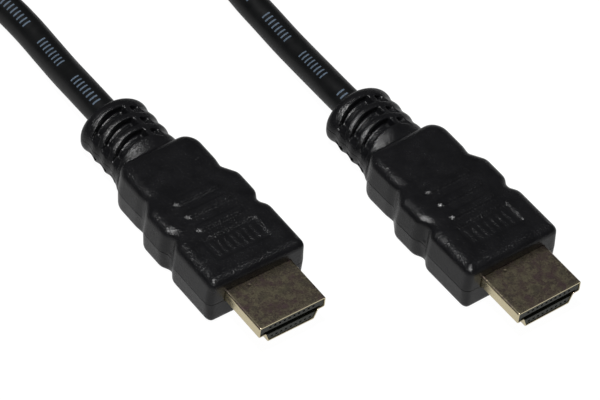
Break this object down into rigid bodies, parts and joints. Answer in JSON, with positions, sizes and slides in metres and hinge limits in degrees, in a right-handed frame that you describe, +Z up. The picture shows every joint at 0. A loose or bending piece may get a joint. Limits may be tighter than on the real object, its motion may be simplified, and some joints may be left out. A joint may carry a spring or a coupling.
{
  "type": "hdmi cable",
  "caption": "Round black video cable with a moulded plug on each end, its spare cord wound in a tied coil, for joining a player or computer to a screen.",
  "frame": {"origin": "on the floor, under the middle of the two plugs' bounding box", "axes": "+Z up from the floor; plug a lies along Y with its metal tip towards -Y and its cord leaving towards +Y; +X is to the right for someone who looks along +Y, from plug a to plug b"},
  "size_m": [0.0908, 0.2109, 0.0134],
  "materials": {
    "vinyl_body": "finely textured satin black vinyl moulding",
    "plated_shell": "thin pale gold plating on stamped sheet, semi-bright",
    "insulator": "smooth dark grey moulded insulator",
    "contact": "gold-plated spring contact",
    "cord_jacket": "extruded satin black vinyl jacket",
    "tie": "plain black vinyl twist tie"
  },
  "bodies": {
    "root": {"overmould_a": "vinyl_body", "shell_a": "plated_shell", "insulator_a": "insulator", "contact_upper_1_a": "contact", "contact_upper_2_a": "contact", "contact_upper_3_a": "contact", "contact_upper_4_a": "contact", "contact_upper_5_a": "contact", "contact_upper_6_a": "contact", "contact_upper_7_a": "contact", "contact_upper_8_a": "contact", "contact_upper_9_a": "contact", "contact_upper_10_a": "contact", "contact_lower_1_a": "contact", "contact_lower_2_a": "contact", "contact_lower_3_a": "contact", "contact_lower_4_a": "contact", "contact_lower_5_a": "contact", "contact_lower_6_a": "contact", "contact_lower_7_a": "contact", "contact_lower_8_a": "contact", "contact_lower_9_a": "contact", "cord_lead_a": "cord_jacket", "overmould_b": "vinyl_body", "shell_b": "plated_shell", "insulator_b": "insulator", "contact_upper_1_b": "contact", "contact_upper_2_b": "contact", "contact_upper_3_b": "contact", "contact_upper_4_b": "contact", "contact_upper_5_b": "contact", "contact_upper_6_b": "contact", "contact_upper_7_b": "contact", "contact_upper_8_b": "contact", "contact_upper_9_b": "contact", "contact_upper_10_b": "contact", "contact_lower_1_b": "contact", "contact_lower_2_b": "contact", "contact_lower_3_b": "contact", "contact_lower_4_b": "contact", "contact_lower_5_b": "contact", "contact_lower_6_b": "contact", "contact_lower_7_b": "contact", "contact_lower_8_b": "contact", "contact_lower_9_b": "contact", "cord_lead_b": "cord_jacket", "cord_coil": "cord_jacket", "coil_tie_1": "tie", "coil_tie_2": "tie"}
  },
  "joints": []
}
